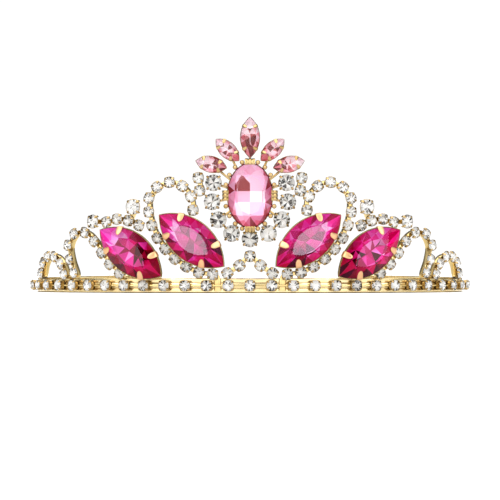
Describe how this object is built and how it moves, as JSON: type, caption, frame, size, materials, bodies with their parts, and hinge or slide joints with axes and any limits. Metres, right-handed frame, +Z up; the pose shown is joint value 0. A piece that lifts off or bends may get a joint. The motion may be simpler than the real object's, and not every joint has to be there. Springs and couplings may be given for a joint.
{
  "type": "crown headband",
  "caption": "Gold-plated tiara on an open band: looping chains of clear stones, fuchsia marquises and a rose oval in a halo of clear stones under a fan of navettes.",
  "frame": {"origin": "under the middle of the whole tiara, on the surface that the band's lower edge rests on", "axes": "+Z up, -Y out of the front of the tiara, +X to the right of someone who looks at the front"},
  "size_m": [0.1368, 0.1136, 0.051],
  "materials": {
    "gold": "polished pale gold plating",
    "stone_chain": "clear foiled stones fused in gold-plated cups",
    "crystal": "clear cut glass with a foil back",
    "rose": "light rose cut glass with a foil back",
    "fuchsia": "fuchsia cut glass with a foil back"
  },
  "bodies": {
    "root": {"band": "gold", "base_chain": "stone_chain", "centre_peak": "stone_chain", "left_end_loop": "stone_chain", "right_end_loop": "stone_chain", "left_outer_arch": "stone_chain", "right_outer_arch": "stone_chain", "left_outer_crest": "stone_chain", "right_outer_crest": "stone_chain", "left_inner_arch": "stone_chain", "right_inner_arch": "stone_chain", "left_inner_setting": "gold", "right_inner_setting": "gold", "left_outer_setting": "gold", "right_outer_setting": "gold", "centre_setting": "gold", "left_inner_marquise": "fuchsia", "right_inner_marquise": "fuchsia", "left_outer_marquise": "fuchsia", "right_outer_marquise": "fuchsia", "oval_stone": "rose", "middle_top_navette": "rose", "left_upper_navette": "rose", "right_upper_navette": "rose", "left_lower_navette": "rose", "right_lower_navette": "rose", "halo_stone_1": "crystal", "halo_stone_2": "crystal", "halo_stone_3": "crystal", "halo_stone_4": "crystal", "halo_stone_5": "crystal", "halo_stone_6": "crystal", "halo_stone_7": "crystal", "halo_stone_8": "crystal", "halo_stone_9": "crystal"}
  },
  "joints": []
}
